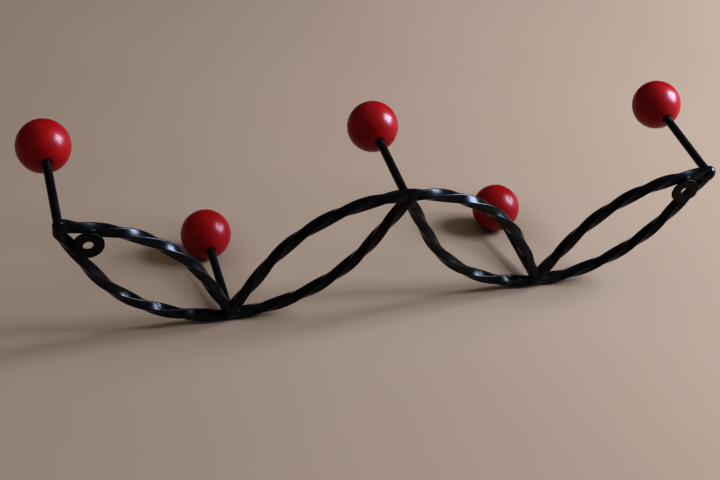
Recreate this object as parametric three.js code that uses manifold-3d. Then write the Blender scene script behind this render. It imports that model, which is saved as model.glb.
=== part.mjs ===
// Wall hook rack: twisted square bars bent on one jig and welded into two hanging bows and
// three standing bows, with five round pegs that carry wooden balls.
// Millimetres, +Z up, +X to the right when facing the wall, the room is on the -Y side.
// Origin: on the wall, half way between the two fixing holes.
import * as THREE from 'three';
import { mergeVertices } from 'three/addons/utils/BufferGeometryUtils.js';
import Module from 'manifold-3d';

const wasm = await Module();
wasm.setup();

// Clearance kept between neighbouring solids.
const gap = 0.3;

// Square bar stock, twisted along its length, over its enamel.
const barSide = 8.4;
const barChamfer = 0.8;
const barStep = 8;

// The bending jig: a round nose, then a straight tangent on either side.
const bendRadius = 135;
const bendAngle = THREE.MathUtils.degToRad(60);

// Layout of the frame, heights measured from the centreline of the hanging bows.
const pitch = 142.5;
const middleBowRise = 115.5;
const endBowRise = 111;
const endBowReach = 282.6;
const holeRise = 98.5;
const holeReach = 261.8;

// The tip of an end bow was never bent right round: this many degrees before the middle of the
// nose it runs on straight, and ends this far past the middle.
const endBowTips = {
  end_bow_left: { straightDegrees: 8, past: 7.7 },
  end_bow_right: { straightDegrees: 14, past: 4.6 },
};

// A bar's centreline stops this far from its neighbour's before its end is trimmed to fit.
const endMargin = 2;

// The free tip of an end bow closes like a dome, on rings at these angles, down to a small end.
const tipRounding = 4.5;
const tipRingAngles = [30, 55, 75, 90];
const tipEndShare = 0.35;

// Fixing washers, flat against the wall behind the bars.
const washerRadius = 12.5;
const washerHoleRadius = 4.2;
const washerThickness = 2;
const washerChamfer = 0.3;

// Pegs and balls.
const pegRadius = 3.6;
const pegChamfer = 0.6;
const ballRadius = 22.5;
const ballReach = 101.5;
const socketDepth = 24;
const pegInsert = 22;
const endPegReach = 283;
const endPegRise = 113;
const lowPegRise = 0.5;
const middlePegRise = 110;

// Facets round the turned pieces.
const pegFacets = 12;
const ballFacets = 20;
const ballQuarterRings = 6;
const washerFacets = 28;
const beadFacets = 10;

// Fillet round the foot of a peg: width on the frame, height along the peg, and how far it
// reaches back beside the bars. Its slope is two steps, as shares of width and height.
const pegWeldWidth = 2.9;
const pegWeldHeight = 2.6;
const pegWeldHug = 2.4;
const pegWeldShoulder = { lipWidth: 0.25, kneeWidth: 0.6, kneeHeight: 0.45 };

// Weld beads at the joints: half sizes along X, Y and Z, and the distance from the centreline
// of the bar that passes through the joint.
const collarBead = { x: 11, y: 7, z: 4.5, away: 5 };
const forkBead = { x: 4.5, y: 6.6, z: 5, away: 11.5 };
const tipBead = { x: 7.5, y: 7, z: 4.4, away: 5, inward: 0.5 };
const washerBead = { x: 4, y: 2.3, z: 4, forward: 2.5 };

// Size of the blocks and cylinders that trim a piece, larger than anything they cut.
const trimSize = 60;

// Distance from the bar's centreline to its rounded corner, and the plane of all centrelines.
const barReach = Math.hypot(barSide / 2, barSide / 2 - barChamfer);
const barY = -(washerThickness + gap + barReach);
const noseLength = bendRadius * bendAngle;
const noseRise = bendRadius * (1 - Math.cos(bendAngle));

const blackEnamel = new THREE.MeshStandardMaterial({ color: 0x0d0e10, roughness: 0.28, metalness: 0.1 });
const blackWeld = new THREE.MeshStandardMaterial({ color: 0x0e0f10, roughness: 0.32, metalness: 0.1 });
const blackWasher = new THREE.MeshStandardMaterial({ color: 0x0c0f0b, roughness: 0.4, metalness: 0.1 });
const blackPeg = new THREE.MeshStandardMaterial({ color: 0x101114, roughness: 0.35, metalness: 0.1 });
const redLacquer = new THREE.MeshStandardMaterial({ color: 0xb40d1c, roughness: 0.25, metalness: 0 });

// A closed geometry becomes a solid that can be cut, and back again.
function solidOf(geometry) {
  const bare = geometry.index ? geometry.toNonIndexed() : geometry.clone();
  bare.deleteAttribute('normal');
  bare.deleteAttribute('uv');
  const merged = mergeVertices(bare, 1e-4);
  return new wasm.Manifold(
    new wasm.Mesh({
      numProp: 3,
      vertProperties: new Float32Array(merged.attributes.position.array),
      triVerts: new Uint32Array(merged.index.array),
    }),
  );
}

function geometryOf(solid) {
  const mesh = solid.getMesh();
  const geometry = new THREE.BufferGeometry();
  geometry.setAttribute('position', new THREE.BufferAttribute(new Float32Array(mesh.vertProperties), 3));
  geometry.setIndex(new THREE.BufferAttribute(new Uint32Array(mesh.triVerts), 1));
  const flat = geometry.toNonIndexed();
  flat.computeVertexNormals();
  return flat;
}

// Height above the frame's low line, as a height from the fixing holes.
function level(rise) {
  return rise - holeRise;
}

// Arc length along the jig profile at which it has climbed by a given rise on its straight part.
function lengthAtRise(rise) {
  return noseLength + (rise - noseRise) / Math.sin(bendAngle);
}

// Span, rise and slope of a bar's profile at arc length s from the middle of the nose: the jig,
// or beyond the start of a straight tip, the line that carries on from there.
function barProfile(bar, s) {
  if (!bar.tipSide) {
    return jigProfile(s);
  }
  const angle = THREE.MathUtils.degToRad(bar.straightDegrees);
  const start = -bar.tipSide * bendRadius * angle;
  const beyond = bar.tipSide * (s - start);
  if (beyond < 0) {
    return jigProfile(s);
  }
  const { span, rise, slope } = jigProfile(start);
  return {
    span: span + bar.tipSide * beyond * Math.cos(angle),
    rise: rise - beyond * Math.sin(angle),
    slope,
  };
}

// Span, rise and slope of the jig profile at arc length s from the middle of its nose.
function jigProfile(s) {
  const side = Math.sign(s);
  const along = Math.abs(s);
  const turned = Math.min(along, noseLength) / bendRadius;
  const straight = Math.max(along - noseLength, 0);
  return {
    span: side * (bendRadius * Math.sin(turned) + straight * Math.cos(bendAngle)),
    rise: bendRadius * (1 - Math.cos(turned)) + straight * Math.sin(bendAngle),
    slope: side * turned,
  };
}

// Arc lengths at which a bar has a section: even steps, and closer ones round a free tip.
function barStations(bar) {
  const near = bar.from + (bar.tipSide < 0 ? tipRounding : 0);
  const far = bar.to - (bar.tipSide > 0 ? tipRounding : 0);
  const count = Math.ceil((far - near) / barStep);
  const stations = Array.from({ length: count + 1 }, (_, i) => near + ((far - near) * i) / count);
  const rounding = tipRingAngles.map((degrees) => Math.sin(THREE.MathUtils.degToRad(degrees)));
  if (bar.tipSide > 0) {
    stations.push(...rounding.map((share) => far + share * tipRounding));
  }
  if (bar.tipSide < 0) {
    stations.unshift(...rounding.map((share) => near - share * tipRounding).reverse());
  }
  return stations;
}

// Size of the section at arc length s: full, but closing in like a dome over a free tip.
function tipScale(bar, s) {
  if (!bar.tipSide) {
    return 1;
  }
  const domeStart = bar.tipSide > 0 ? bar.to - tipRounding : bar.from + tipRounding;
  const share = THREE.MathUtils.clamp((bar.tipSide * (s - domeStart)) / tipRounding, 0, 1);
  return Math.max(Math.sqrt(1 - share * share), tipEndShare);
}

// A twisted bar on the jig profile: a chamfered square extruded straight, then each of its
// sections is turned by the twist and set on the bend. grow enlarges the section all round.
function barGeometry(bar, grow = 0, stations = barStations(bar)) {
  const half = barSide / 2 + grow;
  const flat = barSide / 2 - barChamfer + grow * Math.tan(Math.PI / 8);
  const corners = [
    [half, -flat], [half, flat], [flat, half], [-flat, half],
    [-half, flat], [-half, -flat], [-flat, -half], [flat, -half],
  ];
  const section = new THREE.Shape(corners.map(([a, b]) => new THREE.Vector2(a, b)));
  const steps = stations.length - 1;
  const geometry = new THREE.ExtrudeGeometry(section, { depth: 1, steps, bevelEnabled: false });
  const position = geometry.attributes.position;
  const depthAxis = new THREE.Vector3(0, 1, 0);
  for (let i = 0; i < position.count; i += 1) {
    const s = stations[Math.round(position.getZ(i) * steps)];
    const jig = barProfile(bar, s);
    const slope = bar.flip * jig.slope;
    const normal = new THREE.Vector3(-Math.sin(slope), 0, Math.cos(slope));
    const turn = THREE.MathUtils.degToRad(bar.phase - (360 * s) / bar.turnLength);
    const a = position.getX(i) * tipScale(bar, s);
    const b = position.getY(i) * tipScale(bar, s);
    const point = new THREE.Vector3(bar.x + jig.span, barY, level(bar.z + bar.flip * jig.rise));
    point.addScaledVector(depthAxis, a * Math.cos(turn) - b * Math.sin(turn));
    point.addScaledVector(normal, a * Math.sin(turn) + b * Math.cos(turn));
    position.setXYZ(i, point.x, point.y, point.z);
  }
  return geometry;
}

// The five bars. Hanging bows dip to the low line, standing bows rise from it. phase is the
// turn of the square at the middle of the bend, and the twist is left-handed on every bar.
const innerEnd = lengthAtRise(middleBowRise - endMargin);
const outerEnd = lengthAtRise(endBowRise - endMargin);

// Height of an end bow over the place where its hanging bow meets it.
function meetingRise(side) {
  const tip = endBowTips[side < 0 ? 'end_bow_left' : 'end_bow_right'];
  return endBowRise - barProfile({ ...tip, tipSide: side }, 0).rise;
}

const bars = {
  hanging_bow_left: {
    x: -pitch, z: 0, flip: 1, from: -lengthAtRise(meetingRise(-1) - endMargin), to: innerEnd,
    phase: 56, turnLength: 136,
  },
  hanging_bow_right: {
    x: pitch, z: 0, flip: 1, from: -innerEnd, to: lengthAtRise(meetingRise(1) - endMargin),
    phase: 63, turnLength: 135,
  },
  middle_bow: {
    x: 0, z: middleBowRise, flip: -1, from: -innerEnd, to: innerEnd, phase: 7, turnLength: 145,
  },
  end_bow_left: {
    x: -endBowReach, z: endBowRise, flip: -1, from: -endBowTips.end_bow_left.past, to: outerEnd,
    phase: 21, turnLength: 136, tipSide: -1, ...endBowTips.end_bow_left,
  },
  end_bow_right: {
    x: endBowReach, z: endBowRise, flip: -1, from: -outerEnd, to: endBowTips.end_bow_right.past,
    phase: 2, turnLength: 136, tipSide: 1, ...endBowTips.end_bow_right,
  },
};

// The space that the bend of a bar takes up, with clearance and without its straight ends.
function bendSpace(name) {
  const bar = bars[name];
  const stations = barStations(bar).filter((s) => Math.abs(s) < noseLength / 2);
  return solidOf(barGeometry(bar, gap, stations));
}

// A deep block between two x and two z values, for trimming bar ends.
function block(xLow, xHigh, zLow, zHigh) {
  const geometry = new THREE.BoxGeometry(xHigh - xLow, trimSize, zHigh - zLow);
  geometry.translate((xLow + xHigh) / 2, barY, (zLow + zHigh) / 2);
  return solidOf(geometry);
}

// A hanging bow: both ends stop under the standing bows, and the inner ones meet in a mitre.
function hangingBow(side) {
  const name = side < 0 ? 'hanging_bow_left' : 'hanging_bow_right';
  const underMiddle = level(middleBowRise - barSide / 2 - gap);
  const underEnd = level(meetingRise(side) - barSide / 2 - gap);
  const inner = side < 0 ? [-pitch, 0] : [0, pitch];
  const outer = side < 0 ? [-endBowReach - trimSize, -pitch] : [pitch, endBowReach + trimSize];
  const beyondMitre = side < 0 ? [-gap / 2, trimSize] : [-trimSize, gap / 2];
  let solid = solidOf(barGeometry(bars[name]));
  solid = solid.subtract(bendSpace('middle_bow'));
  solid = solid.subtract(bendSpace(side < 0 ? 'end_bow_left' : 'end_bow_right'));
  solid = solid.subtract(block(...inner, underMiddle, underMiddle + trimSize));
  solid = solid.subtract(block(...outer, underEnd, underEnd + trimSize));
  return solid.subtract(block(...beyondMitre, -trimSize, trimSize));
}

// A standing bow: each foot stops on a hanging bow, mitred against its neighbour's foot.
function standingBow(name, sides) {
  const onLow = level(barSide / 2 + gap);
  const inside = name === 'middle_bow';
  let solid = solidOf(barGeometry(bars[name]));
  for (const side of sides) {
    const mitre = side * pitch;
    const far = inside ? mitre + side * trimSize : mitre - side * trimSize;
    const near = inside ? mitre - (side * gap) / 2 : mitre + (side * gap) / 2;
    solid = solid.subtract(bendSpace(side < 0 ? 'hanging_bow_left' : 'hanging_bow_right'));
    solid = solid.subtract(block(mitre - trimSize, mitre + trimSize, onLow - trimSize, onLow));
    const xLow = Math.min(near, far);
    const xHigh = Math.max(near, far);
    solid = solid.subtract(block(xLow, xHigh, onLow - trimSize, onLow + trimSize));
  }
  return solid;
}

const fittedBars = {
  hanging_bow_left: hangingBow(-1),
  hanging_bow_right: hangingBow(1),
  middle_bow: standingBow('middle_bow', [-1, 1]),
  end_bow_left: standingBow('end_bow_left', [-1]),
  end_bow_right: standingBow('end_bow_right', [1]),
};
const barSpaces = {};
for (const name of Object.keys(bars)) {
  barSpaces[name] = solidOf(barGeometry(bars[name], gap));
}

// Pegs, numbered from the left. Each stands square to the frame.
const pegs = [
  { x: -endPegReach, z: endPegRise },
  { x: -pitch, z: lowPegRise },
  { x: 0, z: middlePegRise },
  { x: pitch, z: lowPegRise },
  { x: endPegReach, z: endPegRise },
];
const pegBack = barY - barReach - gap;
const ballY = barY - ballReach;
const pegFront = ballY + ballRadius - pegInsert;
const pegWeldBack = pegBack + pegWeldHug;

// A turned piece on an axis along Y, its profile given as [radius, y] from y low to y high.
function turned(profile, facets) {
  const points = profile.map(([radius, y]) => new THREE.Vector2(radius, y));
  return new THREE.LatheGeometry(points, facets);
}

function pegGeometry() {
  const profile = [
    [0, pegFront],
    [pegRadius - pegChamfer, pegFront],
    [pegRadius, pegFront + pegChamfer],
    [pegRadius, pegBack],
    [0, pegBack],
  ];
  return turned(profile, pegFacets);
}

// A ball with a blind socket for its peg in the side that faces the wall.
function ballGeometry() {
  const socketRadius = pegRadius + gap;
  const backAngle = Math.PI / 2 - Math.asin(socketRadius / ballRadius);
  const profile = [];
  for (let i = -ballQuarterRings; i <= ballQuarterRings; i += 1) {
    const angle = (i / ballQuarterRings) * (i < 0 ? Math.PI / 2 : backAngle);
    profile.push([ballRadius * Math.cos(angle), ballY + ballRadius * Math.sin(angle)]);
  }
  profile[0][0] = 0;
  const socketFloor = ballY + ballRadius - socketDepth;
  profile.push([socketRadius, socketFloor]);
  profile.push([0, socketFloor]);
  return turned(profile, ballFacets);
}

// A fixing washer with broken edges, its back on the wall.
function washerGeometry() {
  const front = -washerThickness;
  const profile = [
    [washerHoleRadius, front],
    [washerRadius - washerChamfer, front],
    [washerRadius, front + washerChamfer],
    [washerRadius, -washerChamfer],
    [washerRadius - washerChamfer, 0],
    [washerHoleRadius, 0],
    [washerHoleRadius, front],
  ];
  return turned(profile, washerFacets);
}

// A rounded lump of weld metal before the bars are cut out of it.
function lump(size, x, y, z) {
  const geometry = new THREE.SphereGeometry(1, beadFacets, beadFacets / 2);
  geometry.scale(size.x, size.y, size.z);
  geometry.translate(x, y, z);
  return solidOf(geometry);
}

// What is left of a lump beside the bars, without the loose slivers that a cut leaves.
function cutBars(solid, names) {
  const rest = names.reduce((uncut, name) => uncut.subtract(barSpaces[name]), solid);
  const bodies = rest.decompose();
  return bodies.reduce((best, body) => (body.volume() > best.volume() ? body : best));
}

// The room that a peg's fillet takes up in front of the bars, with clearance.
function pegWeldSpace(peg) {
  const reach = pegRadius + pegWeldWidth + 2 * gap;
  const back = pegWeldBack + gap;
  const geometry = turned([[0, ballY], [reach, ballY], [reach, back], [0, back]], pegFacets);
  geometry.translate(peg.x, 0, level(peg.z));
  return solidOf(geometry);
}

// Weld all round the feet of two standing bows on a hanging bow, and up into their fork.
function lowWeld(side) {
  const hanging = side < 0 ? 'hanging_bow_left' : 'hanging_bow_right';
  const end = side < 0 ? 'end_bow_left' : 'end_bow_right';
  const collar = lump(collarBead, side * pitch, barY, level(collarBead.away));
  const fork = lump(forkBead, side * pitch, barY, level(forkBead.away));
  const clear = collar.add(fork).subtract(pegWeldSpace(pegs[side < 0 ? 1 : 3]));
  return cutBars(clear, [hanging, end, 'middle_bow']);
}

// The same weld upside down, where two hanging bows meet under the middle bow.
function middleWeld() {
  const collar = lump(collarBead, 0, barY, level(middleBowRise - collarBead.away));
  const fork = lump(forkBead, 0, barY, level(middleBowRise - forkBead.away));
  const clear = collar.add(fork).subtract(pegWeldSpace(pegs[2]));
  return cutBars(clear, ['hanging_bow_left', 'hanging_bow_right', 'middle_bow']);
}

// Weld round the end of a hanging bow under the tip of an end bow.
function tipWeld(side) {
  const hanging = side < 0 ? 'hanging_bow_left' : 'hanging_bow_right';
  const end = side < 0 ? 'end_bow_left' : 'end_bow_right';
  const x = side * (endBowReach - tipBead.inward);
  const collar = lump(tipBead, x, barY, level(meetingRise(side) - tipBead.away));
  return cutBars(collar.subtract(pegWeldSpace(pegs[side < 0 ? 0 : 4])), [hanging, end]);
}

// Fillet round the foot of a peg, hugging the bars behind it.
function pegWeld(peg) {
  const inner = pegRadius + gap;
  const outer = inner + pegWeldWidth;
  const front = pegBack - pegWeldHeight;
  const { lipWidth, kneeWidth, kneeHeight } = pegWeldShoulder;
  const profile = [
    [inner, front],
    [inner + lipWidth * pegWeldWidth, front],
    [inner + kneeWidth * pegWeldWidth, front + kneeHeight * pegWeldHeight],
    [outer, pegBack],
    [outer, pegWeldBack],
    [inner, pegWeldBack],
    [inner, front],
  ];
  const geometry = turned(profile, pegFacets);
  geometry.translate(peg.x, 0, level(peg.z));
  return cutBars(solidOf(geometry), Object.keys(bars));
}

// Tack weld on the rim of a fixing washer, against the back of a bar. direction points from
// the washer's centre to that bar.
function washerWeld(side, direction) {
  const rim = washerRadius + gap;
  const washer = turned([[0, -trimSize], [rim, -trimSize], [rim, trimSize], [0, trimSize]], washerFacets);
  washer.translate(side * holeReach, 0, 0);
  const x = side * holeReach + direction.x * rim;
  const tack = lump(washerBead, x, -washerBead.forward, direction.y * rim);
  return cutBars(tack.subtract(solidOf(washer)), Object.keys(bars));
}

const rack = new THREE.Group();

function place(name, geometry, material, x = 0, z = 0) {
  const mesh = new THREE.Mesh(geometry, material);
  mesh.name = name;
  mesh.position.set(x, 0, z);
  rack.add(mesh);
}

for (const name of Object.keys(bars)) {
  place(name, geometryOf(fittedBars[name]), blackEnamel);
}
pegs.forEach((peg, i) => {
  place(`peg_${i + 1}`, pegGeometry(), blackPeg, peg.x, level(peg.z));
  place(`ball_${i + 1}`, ballGeometry(), redLacquer, peg.x, level(peg.z));
  place(`peg_weld_${i + 1}`, geometryOf(pegWeld(peg)), blackWeld);
});
place('middle_weld', geometryOf(middleWeld()), blackWeld);
for (const side of [-1, 1]) {
  const hand = side < 0 ? 'left' : 'right';
  const toBow = new THREE.Vector2(holeReach - endBowReach, holeRise - endBowRise + bendRadius).normalize();
  const upward = new THREE.Vector2(side * toBow.x, toBow.y);
  const downward = new THREE.Vector2(side * Math.sin(bendAngle), -Math.cos(bendAngle));
  place(`washer_${hand}`, washerGeometry(), blackWasher, side * holeReach);
  place(`washer_top_weld_${hand}`, geometryOf(washerWeld(side, upward)), blackWeld);
  place(`washer_side_weld_${hand}`, geometryOf(washerWeld(side, downward)), blackWeld);
  place(`low_weld_${hand}`, geometryOf(lowWeld(side)), blackWeld);
  place(`tip_weld_${hand}`, geometryOf(tipWeld(side)), blackWeld);
}

export default rack;
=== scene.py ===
import bpy
import numpy as np
from mathutils import Euler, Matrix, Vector


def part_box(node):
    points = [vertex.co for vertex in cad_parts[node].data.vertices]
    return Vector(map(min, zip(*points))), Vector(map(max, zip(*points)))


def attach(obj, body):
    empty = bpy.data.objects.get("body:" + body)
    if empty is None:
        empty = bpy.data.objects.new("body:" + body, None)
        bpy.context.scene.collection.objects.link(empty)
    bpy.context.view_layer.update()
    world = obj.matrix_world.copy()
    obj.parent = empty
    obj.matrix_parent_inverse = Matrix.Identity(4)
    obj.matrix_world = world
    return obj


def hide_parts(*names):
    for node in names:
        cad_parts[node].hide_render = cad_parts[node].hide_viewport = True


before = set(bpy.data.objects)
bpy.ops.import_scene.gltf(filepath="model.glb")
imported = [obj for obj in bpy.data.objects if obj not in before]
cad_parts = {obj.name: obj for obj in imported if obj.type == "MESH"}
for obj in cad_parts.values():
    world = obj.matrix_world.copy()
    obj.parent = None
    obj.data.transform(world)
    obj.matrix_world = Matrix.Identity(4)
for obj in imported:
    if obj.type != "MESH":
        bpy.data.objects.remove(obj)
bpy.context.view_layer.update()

mm = 0.001  # shapes below are worked out in millimetres, meshes are in metres
scene = bpy.context.scene
print("frame loaded:", len(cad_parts), "nodes")


# A closed skin over a grid of rings: each row is a closed loop of points, neighbouring rows are
# joined by quads, and each end is closed by a fan to the middle of its last loop.
# With joined=True the last row meets the first instead, as on a ring. The pattern map holds
# (length along the rows, length round the loop) in centimetres.
def skinOverRings(name, rings, along, around, joined=False):
    rows, columns = rings.shape[:2]
    points = rings.reshape(-1, 3)
    row = np.arange(rows if joined else rows - 1)[:, None]
    column = np.arange(columns)[None, :]
    nextRow, nextColumn = (row + 1) % rows, (column + 1) % columns
    corners = (row * columns + column, row * columns + nextColumn,
               nextRow * columns + nextColumn, nextRow * columns + column)
    quads = np.stack(np.broadcast_arrays(*corners), axis=-1).reshape(-1, 4)
    u, v = np.append(along, along[-1] + (along[1] - along[0])), around
    quadMap = np.stack(np.broadcast_arrays(
        u[row], v[column], u[row], v[column + 1],
        u[row + 1], v[column + 1], u[row + 1], v[column]), axis=-1).reshape(-1, 4, 2)
    fans, fanMap = np.zeros((0, 3), int), np.zeros((0, 3, 2))
    if not joined:
        first, last = np.arange(columns), (rows - 1) * columns + np.arange(columns)
        middle = len(points)
        points = np.vstack([points, rings[0].mean(0), rings[-1].mean(0)])
        fans = np.vstack([
            np.stack([np.full(columns, middle), np.roll(first, -1), first], axis=-1),
            np.stack([np.full(columns, middle + 1), last, np.roll(last, -1)], axis=-1)])
        fanMap = np.zeros((2 * columns, 3, 2))
        fanMap[:columns, :, 0], fanMap[columns:, :, 0] = u[0], u[-2]
        fanMap[:, :, 1] = np.tile(v[:-1], 2)[:, None]
    triangles = np.vstack([quads[:, [0, 1, 2]], quads[:, [0, 2, 3]], fans])
    a, b, c = points[triangles[:, 0]], points[triangles[:, 1]], points[triangles[:, 2]]
    if np.einsum("ij,ij->i", a, np.cross(b, c)).sum() < 0:  # inside out
        quads, quadMap, fans, fanMap = quads[:, ::-1], quadMap[:, ::-1], fans[:, ::-1], fanMap[:, ::-1]
    mesh = bpy.data.meshes.new(name)
    mesh.from_pydata((points * mm).tolist(), [], quads.tolist() + fans.tolist())
    mesh.polygons.foreach_set("use_smooth", np.ones(len(mesh.polygons), bool))
    pattern = np.concatenate([quadMap.reshape(-1, 2), fanMap.reshape(-1, 2)])
    mesh.uv_layers.new(name="pattern").data.foreach_set("uv", (pattern * 0.1).ravel())
    mesh.update()
    piece = bpy.data.objects.new(name, mesh)
    scene.collection.objects.link(piece)
    return piece


# A turned piece: a profile of (radius, place along Y) is swept once round an axis along Y that
# stands at (x, z). Each ring is centre + radius * (cos, 0, sin).
def turnedSkin(name, profile, centre, columns, joined=False):
    radius, place = profile[:, :1], profile[:, 1:]
    angle = np.linspace(0, 2 * np.pi, columns, endpoint=False)[None, :]
    rings = np.stack(np.broadcast_arrays(
        centre[0] + radius * np.cos(angle), place, centre[1] + radius * np.sin(angle)), axis=-1)
    steps = np.linalg.norm(np.diff(profile, axis=0), axis=1)
    along = np.concatenate([[0], np.cumsum(steps)])
    around = np.linspace(0, 2 * np.pi * profile[:, 0].max(), columns + 1)
    return skinOverRings(name, rings, along, around, joined)


# Points on a circular arc from one angle to another, in degrees, centre + radius * (cos, sin).
def arcPoints(centre, radius, fromDegrees, toDegrees, count):
    angle = np.radians(np.linspace(fromDegrees, toDegrees, count))
    return np.asarray(centre) + radius * np.stack([np.cos(angle), np.sin(angle)], axis=-1)


# Places a finished piece: on the rack's one body, in place of its CAD nodes, with its finish.
def finishPiece(piece, material, slot, *nodes):
    piece.data.materials.append(material)
    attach(piece, "root")
    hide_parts(*nodes)


# A node tree, with a short way to add a node, set its values and join it up.
class Nodes:
    def __init__(self, tree):
        self.tree = tree

    # Adds a node of a kind. An input that is given as another node's output is linked to it.
    def add(self, kind, inputs=None, **settings):
        node = self.tree.nodes.new("ShaderNode" + kind)
        for key, value in settings.items():
            setattr(node, key, value)
        for key, value in (inputs or {}).items():
            if isinstance(value, bpy.types.NodeSocket):
                self.tree.links.new(value, node.inputs[key])
            else:
                node.inputs[key].default_value = value
        return node

    # value moved in step from low..high to toLow..toHigh.
    def range(self, value, low, high, toLow, toHigh):
        inputs = {"Value": value, "From Min": low, "From Max": high, "To Min": toLow, "To Max": toHigh}
        return self.add("MapRange", inputs).outputs["Result"]

    # first * (1 - factor) + second * factor, each a colour or an output.
    def blend(self, factor, first, second):
        first, second = (value if isinstance(value, bpy.types.NodeSocket) else (*value, 1)
                         for value in (first, second))
        inputs = {"Factor": factor, "A": first, "B": second}
        return self.add("Mix", inputs, data_type="RGBA").outputs["Result"]


# A new material: its nodes, with patterns and bumps for its one shader.
class Finish(Nodes):
    def __init__(self, name):
        self.material = bpy.data.materials.new(name)
        self.material.use_nodes = True
        super().__init__(self.material.node_tree)
        self.shader = self.tree.nodes["Principled BSDF"]
        self.coordinates = self.add("TexCoord")

    # Soft noise of a scale per metre, or per pattern unit on the pattern map.
    def noise(self, where, scale, detail=2.0, roughness=0.5, stretch=None):
        vector = self.coordinates.outputs[where]
        if stretch:
            vector = self.add("Mapping", {"Vector": vector, "Scale": stretch}).outputs["Vector"]
        inputs = {"Vector": vector, "Scale": scale, "Detail": detail, "Roughness": roughness}
        return self.add("TexNoise", inputs).outputs["Fac"]

    # The surface tipped by the slope of a pattern that is so many metres high, over other bumps.
    def bump(self, pattern, strength, height, below=None):
        inputs = {"Height": pattern, "Strength": strength, "Distance": height}
        if below:
            inputs["Normal"] = below
        return self.add("Bump", inputs).outputs["Normal"]

    # Sets or links sockets of the shader, their names written with underscores.
    def set(self, **values):
        for key, value in values.items():
            socket = self.shader.inputs[key.replace("_", " ")]
            if isinstance(value, bpy.types.NodeSocket):
                self.tree.links.new(value, socket)
            else:
                socket.default_value = value
        return self.material


# Scales are per metre, or per centimetre for the rolling marks. Heights are in metres.
enamelLook = {
    "deep": (0.0034, 0.0036, 0.0042),
    "worn": (0.0060, 0.0062, 0.0070),
    "specular": 0.29,
    "roughLow": 0.25,
    "roughHigh": 0.34,
    "cloudScale": 70.0,     # slow change of tone and gloss
    "waveScale": 230.0,     # slow waves of the coat
    "waveStrength": 0.07,
    "waveHeight": 0.0006,
    "markScale": 9.0,       # rolling marks along the bar
    "markStretch": (0.10, 1.0, 1.0),
    "markStrength": 0.06,
    "markHeight": 0.0002,
    "pebbleScale": 1000.0,  # dimples of the sprayed coat
    "pebbleStrength": 0.30,
    "pebbleHeight": 0.00015,
}


# Black enamel: a sprayed coat with fine dimples, over the long rolling marks of the bar. The
# colour goes from deep to worn and the roughness from low to high with the same cloud.
def blackEnamel(name, look, marks=True):
    finish = Finish(name)
    cloud = finish.noise("Object", look["cloudScale"], 3.0)
    pebbles = finish.noise("Object", look["pebbleScale"], 2.0, 0.55)
    waves = finish.noise("Object", look["waveScale"])
    normal = finish.bump(waves, look["waveStrength"], look["waveHeight"])
    if marks:
        lines = finish.noise("UV", look["markScale"], 3.0, 0.6, look["markStretch"])
        normal = finish.bump(lines, look["markStrength"], look["markHeight"], normal)
    normal = finish.bump(pebbles, look["pebbleStrength"], look["pebbleHeight"], normal)
    colour = finish.blend(finish.range(cloud, 0.35, 0.7, 0.0, 1.0), look["deep"], look["worn"])
    rough = finish.range(cloud, 0.3, 0.7, look["roughLow"], look["roughHigh"])
    return finish.set(Base_Color=colour, Roughness=rough, Normal=normal,
                      Specular_IOR_Level=look["specular"])


lacquerLook = {
    "lit": (0.285, 0.0052, 0.0085),
    "deep": (0.230, 0.0031, 0.0050),
    "fleck": (0.38, 0.035, 0.036),
    "roughLow": 0.34,
    "roughHigh": 0.44,
    "specular": 0.18,
    "coat": 0.24,
    "coatRough": 0.23,
    "cloudScale": 55.0,     # slow change of colour and gloss
    "grainScale": 90.0,     # growth rings under the paint
    "grainStretch": (6.0, 0.7, 6.0),
    "grainStrength": 0.035,
    "grainHeight": 0.0004,
    "peelScale": 420.0,     # orange peel
    "peelStrength": 0.025,
    "peelHeight": 0.0003,
    "dustScale": 900.0,     # flecks of dust
    "dustShare": 0.5,
}


# Red lacquer on turned wood: slow colour change from deep to lit, faint growth rings under the
# paint, fine orange peel, and a few dust flecks where a fine noise peaks.
def redLacquer(name, look):
    finish = Finish(name)
    cloud = finish.noise("Object", look["cloudScale"], 3.0)
    peel = finish.noise("Object", look["peelScale"])
    dust = finish.noise("Object", look["dustScale"], 1.0)
    grain = finish.noise("Object", look["grainScale"], 3.0, 0.5, look["grainStretch"])
    colour = finish.blend(finish.range(cloud, 0.3, 0.7, 0.0, 1.0), look["deep"], look["lit"])
    flecked = finish.blend(finish.range(dust, 0.70, 0.78, 0.0, look["dustShare"]), colour, look["fleck"])
    normal = finish.bump(grain, look["grainStrength"], look["grainHeight"])
    normal = finish.bump(peel, look["peelStrength"], look["peelHeight"], normal)
    rough = finish.range(cloud, 0.3, 0.7, look["roughLow"], look["roughHigh"])
    return finish.set(Base_Color=flecked, Roughness=rough, Normal=normal,
                      Specular_IOR_Level=look["specular"], Coat_Weight=look["coat"],
                      Coat_Roughness=look["coatRough"], Coat_Normal=normal)


barEnamel = blackEnamel("gloss black enamel on bar", enamelLook)
weldEnamel = blackEnamel("gloss black enamel on weld", enamelLook, marks=False)
pegEnamel = blackEnamel("satin black enamel on rod", {**enamelLook, "roughLow": 0.30, "roughHigh": 0.42})
washerEnamel = blackEnamel("satin black enamel on washer", {
    **enamelLook, "deep": (0.0040, 0.0042, 0.0028), "worn": (0.0070, 0.0074, 0.0050),
    "specular": 0.2, "roughLow": 0.40, "roughHigh": 0.55}, marks=False)
ballLacquer = redLacquer("red lacquer on wood", lacquerLook)
print("finishes made")


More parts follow.
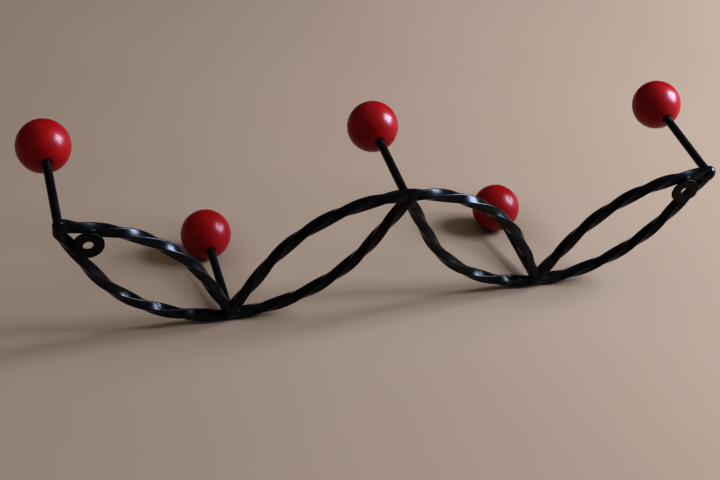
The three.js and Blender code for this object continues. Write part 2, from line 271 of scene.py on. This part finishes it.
barStock = {"side": 8.4, "corner": 1.2, "cornerPoints": 7, "flatPoints": 5, "step": 1.0,
            "tipRounding": 4.5, "tipRings": 16, "lastTipRing": 88}
jig = {"noseRadius": 135.0, "noseDegrees": 60.0}
layout = {
    "holeRise": 98.5,       # heights are measured from the low line, z from the fixing holes
    "pitch": 142.5,
    "middleBowRise": 115.5,
    "endBowRise": 111.0,
    "endBowReach": 282.6,
    "endMargin": 5.0,       # a foot stops this far from the centreline that it stands on
    "barDepth": -7.7037,    # y of every centreline, in front of the wall
}
noseLength = jig["noseRadius"] * np.radians(jig["noseDegrees"])


# The bend that all bars share, at length s from the middle of its nose: span and rise follow a
# circle of the nose radius (R sin, R - R cos) and then its tangent, slope is the angle turned.
def jigProfile(s):
    turned = np.minimum(np.abs(s), noseLength) / jig["noseRadius"]
    straight = np.maximum(np.abs(s) - noseLength, 0.0)
    span = np.sign(s) * (jig["noseRadius"] * np.sin(turned) + straight * np.cos(turned))
    rise = jig["noseRadius"] * (1 - np.cos(turned)) + straight * np.sin(turned)
    return span, rise, np.sign(s) * turned


# Span, rise and slope of a bar at length s. Past the start of a straight tip, at -tip R angle, a
# further length t carries on along the tangent: (span + tip t cos, rise - t sin).
def barProfile(bar, s):
    tip, angle = bar.get("tip", 0), np.radians(bar.get("straightDegrees", 0))
    beyond = np.maximum(tip * s + jig["noseRadius"] * angle, 0.0) * abs(tip)
    span, rise, slope = jigProfile(s - tip * beyond)
    return span + tip * beyond * np.cos(angle), rise - beyond * np.sin(angle), slope


# Length along the bend at which its straight part has climbed by a rise.
def lengthAtRise(rise):
    angle = np.radians(jig["noseDegrees"])
    return noseLength + (rise - jig["noseRadius"] * (1 - np.cos(angle))) / np.sin(angle)


# How an end bow ends: straight from this angle before the middle of its nose, and then past it.
# Its blob of weld starts past the middle too, the weld's skin is worked out from weldPast, and
# its hanging bow stops this far under it.
leftTip = dict(tip=-1, straightDegrees=8.0, past=7.7, blob=3.1, weldPast=0.5, under=3.5)
rightTip = dict(tip=1, straightDegrees=14.0, past=4.6, blob=0.8, weldPast=-0.5, under=7.5)

# Height of an end bow where its hanging bow meets it, over the height of its nose.
leftLift, rightLift = (-barProfile(tip, np.zeros(1))[1][0] for tip in (leftTip, rightTip))

innerEnd = lengthAtRise(layout["middleBowRise"] - layout["endMargin"])
outerEnd = lengthAtRise(layout["endBowRise"] - layout["endMargin"])
leftEnd = lengthAtRise(layout["endBowRise"] + leftLift - leftTip["under"])
rightEnd = lengthAtRise(layout["endBowRise"] + rightLift - rightTip["under"])
pitch, endReach = layout["pitch"], layout["endBowReach"]
low, middle, end = (rise - layout["holeRise"]
                    for rise in (0.0, layout["middleBowRise"], layout["endBowRise"]))

# x and z of each nose, which way it bends, where the bar starts and stops, and its twist.
bars = {
    "hangingBowLeft": dict(node="hanging_bow_left", x=-pitch, z=low, bend=1, start=-leftEnd,
                           stop=innerEnd, phase=56, turnLength=136),
    "hangingBowRight": dict(node="hanging_bow_right", x=pitch, z=low, bend=1, start=-innerEnd,
                            stop=rightEnd, phase=63, turnLength=135),
    "middleBow": dict(node="middle_bow", x=0.0, z=middle, bend=-1, start=-innerEnd,
                      stop=innerEnd, phase=7, turnLength=145),
    "endBowLeft": dict(node="end_bow_left", x=-endReach, z=end, bend=-1, start=-leftTip["past"],
                       stop=outerEnd, phase=21, turnLength=136, **leftTip),
    "endBowRight": dict(node="end_bow_right", x=endReach, z=end, bend=-1, start=-outerEnd,
                        stop=rightTip["past"], phase=2, turnLength=136, **rightTip),
}


# Centreline and slope of a bar: its nose plus its profile, turned over for a standing bow.
def centreline(bar, s):
    span, rise, slope = barProfile(bar, s)
    depth = np.full_like(span, layout["barDepth"])
    points = np.stack([bar["x"] + span, depth, bar["z"] + bar["bend"] * rise], axis=-1)
    return points, bar["bend"] * slope


# Outline of the bar stock: a square with rounded corners, one corner and one flat turned by
# quarters. Returns the points and the length round the outline.
def stockOutline(stock):
    half, corner = stock["side"] / 2, stock["corner"]
    bow = arcPoints((half - corner, half - corner), corner, 0, 90, stock["cornerPoints"])
    share = np.linspace(0, 1, stock["flatPoints"] + 2)[1:-1, None]
    flat = bow[-1] + share * np.array([2 * (corner - half), 0.0])
    quarter = np.vstack([bow, flat])
    turns = [np.linalg.matrix_power(np.array([[0, 1], [-1, 0]]), k) for k in range(4)]
    outline = np.vstack([quarter @ turn for turn in turns])
    steps = np.linalg.norm(np.roll(outline, -1, axis=0) - outline, axis=1)
    return outline, np.concatenate([[0], np.cumsum(steps)])


# A twisted bar: at every station the outline is turned by phase - 360 s / turnLength and set
# square to the bend, point = centre + (a cos - b sin) * Y + (a sin + b cos) * normal.
# Over a free tip the outline shrinks like a dome, by the square root of 1 - share squared.
def twistedBar(name, bar):
    outline, around = stockOutline(barStock)
    stations = np.linspace(bar["start"], bar["stop"], int((bar["stop"] - bar["start"]) / barStock["step"]))
    size = np.ones_like(stations)
    tip = bar.get("tip", 0)
    if tip:
        rounding = barStock["tipRounding"]
        domeStart = (bar["stop"] if tip > 0 else -bar["start"]) - rounding
        body = stations[tip * stations < domeStart]
        share = np.sin(np.radians(np.linspace(0, barStock["lastTipRing"], barStock["tipRings"])))
        dome = tip * (domeStart + rounding * share)
        stations = np.sort(np.concatenate([body, dome]))
        past = np.clip((tip * stations - domeStart) / rounding, 0, 1)
        size = np.sqrt(1 - past ** 2)
    centre, slope = centreline(bar, stations)
    turn = np.radians(bar["phase"] - 360 * stations / bar["turnLength"])[:, None]
    a, b = outline[None, :, 0] * size[:, None], outline[None, :, 1] * size[:, None]
    across = a * np.cos(turn) - b * np.sin(turn)
    up = a * np.sin(turn) + b * np.cos(turn)
    normal = np.stack([-np.sin(slope), np.zeros_like(slope), np.cos(slope)], axis=-1)
    rings = centre[:, None, :] + up[..., None] * normal[:, None, :]
    rings[..., 1] += across
    return skinOverRings(name, rings, stations, around)


for name, bar in bars.items():
    finishPiece(twistedBar(name, bar), barEnamel, "bar_enamel", bar["node"])
print("bars bent:", len(bars))


pegShape = {"radius": 3.6, "edge": 0.6, "edgePoints": 8, "sunk": 2.2, "columns": 40, "rows": 30}
ballShape = {"radius": 22.5, "socket": 3.9, "lip": 0.7, "lipPoints": 8, "depth": 24.0, "wallPoints": 13,
             "columns": 112, "rows": 72, "pole": -89.5}
washerShape = {"hole": 4.2, "radius": 12.5, "thick": 2.0, "edge": 0.45, "edgePoints": 6,
               "facePoints": 6, "columns": 96}


# Centre and size of a CAD node's box, in millimetres.
def nodeBox(node):
    lowest, highest = (np.array(corner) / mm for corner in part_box(node))
    return (lowest + highest) / 2, highest - lowest


# Profile of a peg, from its front end inside the ball to its foot on the frame: a rod with a
# rounded front edge.
def pegProfile(front, back):
    radius, edge, rows = pegShape["radius"], pegShape["edge"], pegShape["rows"]
    nose = arcPoints((radius - edge, front + edge), edge, -90, 0, pegShape["edgePoints"])
    shank = np.stack([np.full(rows, radius), np.linspace(front + 2 * edge, back, rows)], axis=-1)
    return np.vstack([nose, shank])


# Profile of a ball about its peg's axis: a circle from the front round to the socket's mouth,
# a small rounded lip, and then the socket wall down to its flat floor.
def ballProfile(y):
    radius, socket, lip = ballShape["radius"], ballShape["socket"], ballShape["lip"]
    lipCentre = np.degrees(np.arcsin((socket + lip) / (radius - lip)))
    sphere = arcPoints((0, y), radius, ballShape["pole"], 90 - lipCentre, ballShape["rows"])
    place = y + (radius - lip) * np.cos(np.radians(lipCentre))
    mouth = arcPoints((socket + lip, place), lip, 90 - lipCentre, 180, ballShape["lipPoints"])[1:]
    down = np.linspace(place, y + radius - ballShape["depth"], ballShape["wallPoints"])[1:]
    wall = np.stack([np.full_like(down, socket), down], axis=-1)
    return np.vstack([sphere, mouth, wall])


# Cross-section of a washer: a flat rectangle with all four edges rounded.
def washerProfile():
    edge, thick, points = washerShape["edge"], washerShape["thick"], washerShape["edgePoints"]
    near, far = washerShape["hole"] + edge, washerShape["radius"] - edge
    front, back = -thick + edge, -edge
    facing = np.linspace(near, far, washerShape["facePoints"] + 2)[1:-1]
    return np.vstack([
        arcPoints((far, front), edge, -90, 0, points),
        arcPoints((far, back), edge, 0, 90, points),
        np.stack([facing[::-1], np.zeros_like(facing)], axis=-1),
        arcPoints((near, back), edge, 90, 180, points),
        arcPoints((near, front), edge, 180, 270, points),
        np.stack([facing, np.full_like(facing, -thick)], axis=-1)])


for number in range(1, 6):
    centre, size = nodeBox(f"peg_{number}")
    front, back = centre[1] - size[1] / 2, centre[1] + size[1] / 2 + pegShape["sunk"]
    peg = turnedSkin(f"peg{number}", pegProfile(front, back), centre[[0, 2]], pegShape["columns"])
    finishPiece(peg, pegEnamel, "peg_enamel", f"peg_{number}")
    centre, size = nodeBox(f"ball_{number}")
    frontPole = centre[1] - size[1] / 2
    ball = turnedSkin(f"ball{number}", ballProfile(frontPole + ballShape["radius"]),
                      centre[[0, 2]], ballShape["columns"])
    finishPiece(ball, ballLacquer, "ball_lacquer", f"ball_{number}")
for hand in ("left", "right"):
    centre, size = nodeBox(f"washer_{hand}")
    washer = turnedSkin(f"washer{hand.title()}", washerProfile(), centre[[0, 2]],
                        washerShape["columns"], joined=True)
    finishPiece(washer, washerEnamel, "washer_enamel", f"washer_{hand}")
print("pegs, balls and washers turned")


weldGrid = {"rows": 48, "columns": 80, "steps": 56, "shut": 0.001}


# Distance from points to a chain of straight pieces whose thickness changes along it: for each
# piece, the distance to its nearest point less the radius there; the least over all pieces.
def distanceToChain(points, chain, radii):
    best = np.full(points.shape[:-1], np.inf)
    for a, b, radiusA, radiusB in zip(chain[:-1], chain[1:], radii[:-1], radii[1:]):
        run = b - a
        share = np.clip((points - a) @ run / (run @ run), 0, 1)
        gap = np.linalg.norm(points - a - share[..., None] * run, axis=-1)
        best = np.minimum(best, gap - radiusA - share * (radiusB - radiusA))
    return best


# Distance from points to a disc with a rounded rim that lies against the wall: the hypotenuse of
# how far out and how deep a point is beyond the disc's core, less the rounding.
def distanceToDisc(points, centre, radius, thick, edge):
    out = np.hypot(points[..., 0] - centre[0], points[..., 2] - centre[1]) - (radius - edge)
    deep = np.abs(points[..., 1] + thick / 2) - (thick / 2 - edge)
    return np.hypot(np.maximum(out, 0), np.maximum(deep, 0)) - edge


# The smaller of two distances, less near cubed * fillet / 6, where near falls from 1 to 0 as the
# two come to differ by the fillet.
def filletBetween(a, b, fillet):
    near = np.maximum(fillet - np.abs(a - b), 0) / fillet
    return np.minimum(a, b) - near ** 3 * fillet / 6


# A weld as a skin round its centre: in every direction, the length at which the filleted
# distance to the joined pieces first comes to zero, found on even steps and then between them.
def weldSkin(name, centre, reach, distance, *parts):
    polar = np.linspace(0, np.pi, weldGrid["rows"] + 2)[1:-1, None]
    turn = np.linspace(0, 2 * np.pi, weldGrid["columns"], endpoint=False)[None, :]
    direction = np.stack(np.broadcast_arrays(
        np.sin(polar) * np.cos(turn), -np.cos(polar), np.sin(polar) * np.sin(turn)), axis=-1)
    lengths = np.linspace(0, reach, weldGrid["steps"])
    value = distance(centre + direction[..., None, :] * lengths[:, None], *parts)
    value[..., -1] = np.maximum(value[..., -1], weldGrid["shut"])
    first = np.maximum((value > 0).argmax(axis=-1), 1)[..., None]
    inside = np.take_along_axis(value, first - 1, -1)
    outside = np.take_along_axis(value, first, -1)
    share = np.clip(inside / (inside - outside), 0, 1)
    length = lengths[1] * (first - 1 + share)
    rings = centre + direction * length
    along = np.linspace(0, np.pi * reach, weldGrid["rows"])
    around = np.linspace(0, 2 * np.pi * reach, weldGrid["columns"] + 1)
    return skinOverRings(name, rings, along, around)


# A bar that runs through a joint swells a little there, a bar that ends there is covered all
# round, and both welds thin out until they sink into the bar.
weldShape = {"through": 4.7, "throughLength": 13.0, "foot": 5.2, "footLength": 15.0, "thin": 3.3,
             "tip": 5.1, "tipLength": 14.0, "tipThin": 3.0, "chainPieces": 6, "reach": 15.0,
             "fillet": 4.0, "fork": 5.5, "tipFillet": 7.5, "away": 4.5, "tipAway": 3.5}


# Part of a bar near a joint as a chain of points and radii, both in even steps.
def barNear(name, fromLength, toLength, thick, thin):
    count = weldShape["chainPieces"] + 1
    line = centreline(bars[name], np.linspace(fromLength, toLength, count))[0]
    return line, np.linspace(thick, thin, count)


# Both ways along a bar from the middle of its nose.
def throughBar(name):
    reach = weldShape["throughLength"]
    return [barNear(name, 0.0, end, weldShape["through"], weldShape["thin"]) for end in (-reach, reach)]


# From the end of a bar back along it.
def footOf(name, stop, inward):
    return barNear(name, stop, stop + inward * weldShape["footLength"], weldShape["foot"], weldShape["thin"])


# The blob over the tip of an end bow, thinning out along it.
def tipBlob(name):
    bar = bars[name]
    start = bar["tip"] * bar["blob"]
    end = start - bar["tip"] * weldShape["tipLength"]
    return barNear(name, start, end, weldShape["tip"], weldShape["tipThin"])


# Where a tip's weld is worked out from: x past the middle of the nose, z under the end bow.
def tipCentre(tip, lift):
    return tip["tip"] * (endReach + tip["weldPast"]), end + lift - weldShape["tipAway"]


# The joints: the centre that each weld's skin is worked out from, and the bars that meet there.
joints = {
    "lowWeldLeft": dict(
        node="low_weld_left", centre=(-pitch, low + weldShape["away"]),
        through=throughBar("hangingBowLeft"),
        feet=[footOf("middleBow", -innerEnd, 1), footOf("endBowLeft", outerEnd, -1)]),
    "lowWeldRight": dict(
        node="low_weld_right", centre=(pitch, low + weldShape["away"]),
        through=throughBar("hangingBowRight"),
        feet=[footOf("middleBow", innerEnd, -1), footOf("endBowRight", -outerEnd, 1)]),
    "middleWeld": dict(
        node="middle_weld", centre=(0.0, middle - weldShape["away"]),
        through=throughBar("middleBow"),
        feet=[footOf("hangingBowLeft", innerEnd, -1), footOf("hangingBowRight", -innerEnd, 1)]),
    "tipWeldLeft": dict(
        node="tip_weld_left", centre=tipCentre(leftTip, leftLift),
        through=[tipBlob("endBowLeft")],
        feet=[footOf("hangingBowLeft", -leftEnd, 1)]),
    "tipWeldRight": dict(
        node="tip_weld_right", centre=tipCentre(rightTip, rightLift),
        through=[tipBlob("endBowRight")],
        feet=[footOf("hangingBowRight", rightEnd, -1)]),
}


# Filleted distance to all bars of a joint: first the feet with each other, then with the bar
# that runs through.
def jointDistance(points, joint):
    feet = [distanceToChain(points, *foot) for foot in joint["feet"]]
    through = np.min([distanceToChain(points, *part) for part in joint["through"]], axis=0)
    together = feet[0] if len(feet) == 1 else filletBetween(feet[0], feet[1], weldShape["fork"])
    fillet = weldShape["tipFillet" if len(feet) == 1 else "fillet"]
    return filletBetween(together, through, fillet)


for name, joint in joints.items():
    centre = np.array([joint["centre"][0], layout["barDepth"], joint["centre"][1]])
    weld = weldSkin(name, centre, weldShape["reach"], jointDistance, joint)
    finishPiece(weld, weldEnamel, "weld_enamel", joint["node"])
print("joints welded:", len(joints))


# Fillet round the foot of each peg. The rod of weld is given as places in front of the bar's
# centreline and the radius at each.
pegWeldShape = {"reach": 9.0, "fillet": 3.4, "bar": 4.3, "inFront": 4.6,
                "rodPlaces": [0.0, -8.5, -16.0], "rodRadii": [3.7, 3.65, 2.7]}
jointOfPeg = ["tipWeldLeft", "lowWeldLeft", "middleWeld", "lowWeldRight", "tipWeldRight"]


# Filleted distance to the rod and to the nearest bar of its joint.
def pegFootDistance(points, joint, foot):
    rodLine = foot + np.outer(pegWeldShape["rodPlaces"], [0, 1, 0])
    rod = distanceToChain(points, rodLine, pegWeldShape["rodRadii"])
    solid = np.min([distanceToChain(points, line, np.minimum(radii, pegWeldShape["bar"]))
                    for line, radii in joint["feet"] + joint["through"]], axis=0)
    return filletBetween(rod, solid, pegWeldShape["fillet"])


for number, jointName in enumerate(jointOfPeg, start=1):
    foot = nodeBox(f"peg_{number}")[0]
    foot[1] = layout["barDepth"]
    centre = foot - [0.0, pegWeldShape["inFront"], 0.0]
    weld = weldSkin(f"pegWeld{number}", centre, pegWeldShape["reach"], pegFootDistance,
                    joints[jointName], foot)
    finishPiece(weld, weldEnamel, "weld_enamel", f"peg_weld_{number}")
print("pegs welded")


# Tack welds between a washer's rim and the bars in front of it: a short bead along the rim.
tackShape = {"reach": 5.2, "spare": 0.3, "fillet": 3.0, "bar": 3.8, "beadLength": 5.0,
             "beadRadii": [1.0, 1.5, 1.0], "offWall": 0.3, "stations": 400, "near": 20, "every": 5}
tackedBars = {"top": "endBow", "side": "hangingBow"}


# Filleted distance to bar, washer and bead, kept within the reach and clear of the wall plane.
def tackDistance(points, line, washerAt, centre, bead):
    toBar = distanceToChain(points, line, np.full(len(line), tackShape["bar"]))
    toDisc = distanceToDisc(points, washerAt, washerShape["radius"], washerShape["thick"],
                            washerShape["edge"])
    toBead = distanceToChain(points, bead, tackShape["beadRadii"])
    barToDisc = filletBetween(toBar, toDisc, tackShape["fillet"])
    weld = filletBetween(barToDisc, toBead, tackShape["fillet"])
    away = np.linalg.norm(points - centre, axis=-1) - tackShape["reach"]
    return np.max([weld, away, points[..., 1] + tackShape["offWall"]], axis=0)


# The stretch of a bar's centreline nearest to a place, at every few stations.
def nearbyLine(bar, place):
    line = centreline(bar, np.linspace(bar["start"], bar["stop"], tackShape["stations"]))[0]
    nearest = np.linalg.norm(line - place, axis=1).argmin()
    near = tackShape["near"]
    return line[max(nearest - near, 0):nearest + near + 1:tackShape["every"]]


for hand in ("left", "right"):
    washerAt = nodeBox(f"washer_{hand}")[0][[0, 2]]
    for place, barName in tackedBars.items():
        centre = nodeBox(f"washer_{place}_weld_{hand}")[0]
        outward = centre[[0, 2]] - washerAt
        tangent = np.array([-outward[1], 0.0, outward[0]]) / np.linalg.norm(outward)
        bead = centre + np.outer([-0.5, 0.0, 0.5], tangent * tackShape["beadLength"])
        line = nearbyLine(bars[barName + hand.title()], centre)
        weld = weldSkin(f"washer{place.title()}Weld{hand.title()}", centre,
                        tackShape["reach"] + tackShape["spare"],
                        tackDistance, line, washerAt, centre, bead)
        finishPiece(weld, weldEnamel, "weld_enamel", f"washer_{place}_weld_{hand}")
print("washers tacked")


# The rack lies back on its low joints and its two low balls, so the floor is tipped under it.
# barUnder is how far the joints reach under the bars' centreline.
floorLook = {
    "colour": (0.318, 0.228, 0.157),
    "shade": (0.288, 0.205, 0.139),
    "cloudScale": 3.0,
    "size": 5.0,  # metres
    "rough": 0.9,
    "specular": 0.0,
    "barUnder": 5.4,
}


# Tilt of the floor that touches a ball and a joint: the angle whose sine is the difference of
# their radii over their distance, less the angle at which the ball lies from the joint.
def floorTilt():
    ball = nodeBox("ball_2")[0]
    forward, upward = layout["barDepth"] - ball[1], ball[2] - low
    sine = (ballShape["radius"] - floorLook["barUnder"]) / np.hypot(forward, upward)
    return np.arcsin(sine) - np.arctan2(upward, forward)


# A square sheet under the joints, tipped by the tilt. Seen from below it is clear.
def floorSheet():
    tilt = floorTilt()
    print("floor tilt in degrees:", round(float(np.degrees(tilt)), 2))
    up, across = np.array([0.0, -np.sin(tilt), np.cos(tilt)]), np.array([1.0, 0.0, 0.0])
    deep = np.cross(up, across)
    middle = (np.array([0.0, layout["barDepth"], low]) - floorLook["barUnder"] * up) * mm
    half = floorLook["size"] / 2
    corners = [middle + half * (i * across + j * deep)
               for i, j in ((-1, -1), (1, -1), (1, 1), (-1, 1))]
    mesh = bpy.data.meshes.new("floor")
    mesh.from_pydata([tuple(corner) for corner in corners], [], [(0, 1, 2, 3)])
    mesh.update()
    floor = bpy.data.objects.new("floor", mesh)
    scene.collection.objects.link(floor)
    finish = Finish("plain pale floor")
    cloud = finish.noise("Object", floorLook["cloudScale"], 3.0)
    colour = finish.blend(cloud, floorLook["shade"], floorLook["colour"])
    finish.set(Base_Color=colour, Roughness=floorLook["rough"], Specular_IOR_Level=floorLook["specular"])
    facing = finish.add("NewGeometry").outputs["Backfacing"]
    clear = finish.add("BsdfTransparent").outputs["BSDF"]
    mix = finish.add("MixShader", {0: facing, 1: finish.shader.outputs["BSDF"], 2: clear})
    finish.tree.links.new(mix.outputs["Shader"], finish.tree.nodes["Material Output"].inputs["Surface"])
    mesh.materials.append(finish.material)
    return floor


floorSheet()

# Two tall windows to one side, and a weak glow from the wall across the room. away is measured
# from the aim, in metres.
aim = Vector((0.0, -0.05, -0.04))
window = dict(size=(0.50, 1.25), power=60.0, colour=(0.62, 0.75, 1.0))
lights = {
    "windowNear": dict(away=(-1.82, 0.32, 1.24), **window),
    "windowFar": dict(away=(-1.88, -0.24, 1.24), **window),
    "farWall": dict(away=(2.0, 0.5, 0.9), size=(1.4, 0.9), power=0.8, colour=(1.0, 0.93, 0.85)),
}


# A rectangular light that faces the rack.
def softLight(name, away, size, power, colour):
    data = bpy.data.lights.new(name, "AREA")
    data.shape = "RECTANGLE"
    data.size, data.size_y = size
    data.energy, data.color = power, colour
    light = bpy.data.objects.new(name, data)
    light.location = aim + Vector(away)
    light.rotation_mode = "QUATERNION"
    light.rotation_quaternion = (-Vector(away)).to_track_quat("-Z", "Y")
    scene.collection.objects.link(light)


for name, values in lights.items():
    softLight(name, **values)

# The room: darker low down and brighter overhead, between two heights of the view direction, and
# dim where polished things mirror it. Behind the rack the eye sees an even backdrop.
room = {
    "low": (0.13, 0.125, 0.12),
    "high": (0.35, 0.36, 0.38),
    "from": 0.1,
    "to": 0.9,
    "mirrored": 0.22,
    "backdrop": (0.40, 0.37, 0.34),
}


# The world's light: a blend of the low and high colours by height, times the mirrored share on
# rays that leave a polished surface, or the backdrop on rays that come from the camera.
def lightRoom(look):
    world = bpy.data.worlds.new("room")
    world.use_nodes = True
    world.node_tree.nodes.clear()
    nodes = Nodes(world.node_tree)
    direction = nodes.add("TexCoord").outputs["Generated"]
    height = nodes.add("SeparateXYZ", {"Vector": direction}).outputs["Z"]
    climb = nodes.range(height, look["from"], look["to"], 0.0, 1.0)
    ray = nodes.add("LightPath").outputs
    share = nodes.range(ray["Is Glossy Ray"], 0.0, 1.0, 1.0, look["mirrored"])
    sky = nodes.add("Background", {"Color": nodes.blend(climb, look["low"], look["high"]), "Strength": share})
    backdrop = nodes.add("Background", {"Color": (*look["backdrop"], 1)})
    seen = nodes.add("MixShader", {0: ray["Is Camera Ray"], 1: sky.outputs["Background"],
                                   2: backdrop.outputs["Background"]})
    nodes.add("OutputWorld", {"Surface": seen.outputs["Shader"]})
    scene.world = world


lightRoom(room)

# Place in metres, turn in degrees, lens and sensor in millimetres.
viewpoint = {
    "place": (0.36247, 0.73850, 0.67320),
    "turn": (48.7963, -7.8723, 163.2421),
    "lens": 64.256,
    "sensor": 36.0,
    "nearest": 0.01,
    "farthest": 50.0,
}
camera = bpy.data.objects.new("camera", bpy.data.cameras.new("camera"))
camera.location = viewpoint["place"]
camera.rotation_euler = Euler(np.radians(viewpoint["turn"]))
camera.data.lens, camera.data.sensor_width = viewpoint["lens"], viewpoint["sensor"]
camera.data.clip_start, camera.data.clip_end = viewpoint["nearest"], viewpoint["farthest"]
scene.collection.objects.link(camera)
scene.camera = camera
scene.view_settings.view_transform = "Standard"
scene.view_settings.look = "High Contrast"
print("floor, light and camera set")
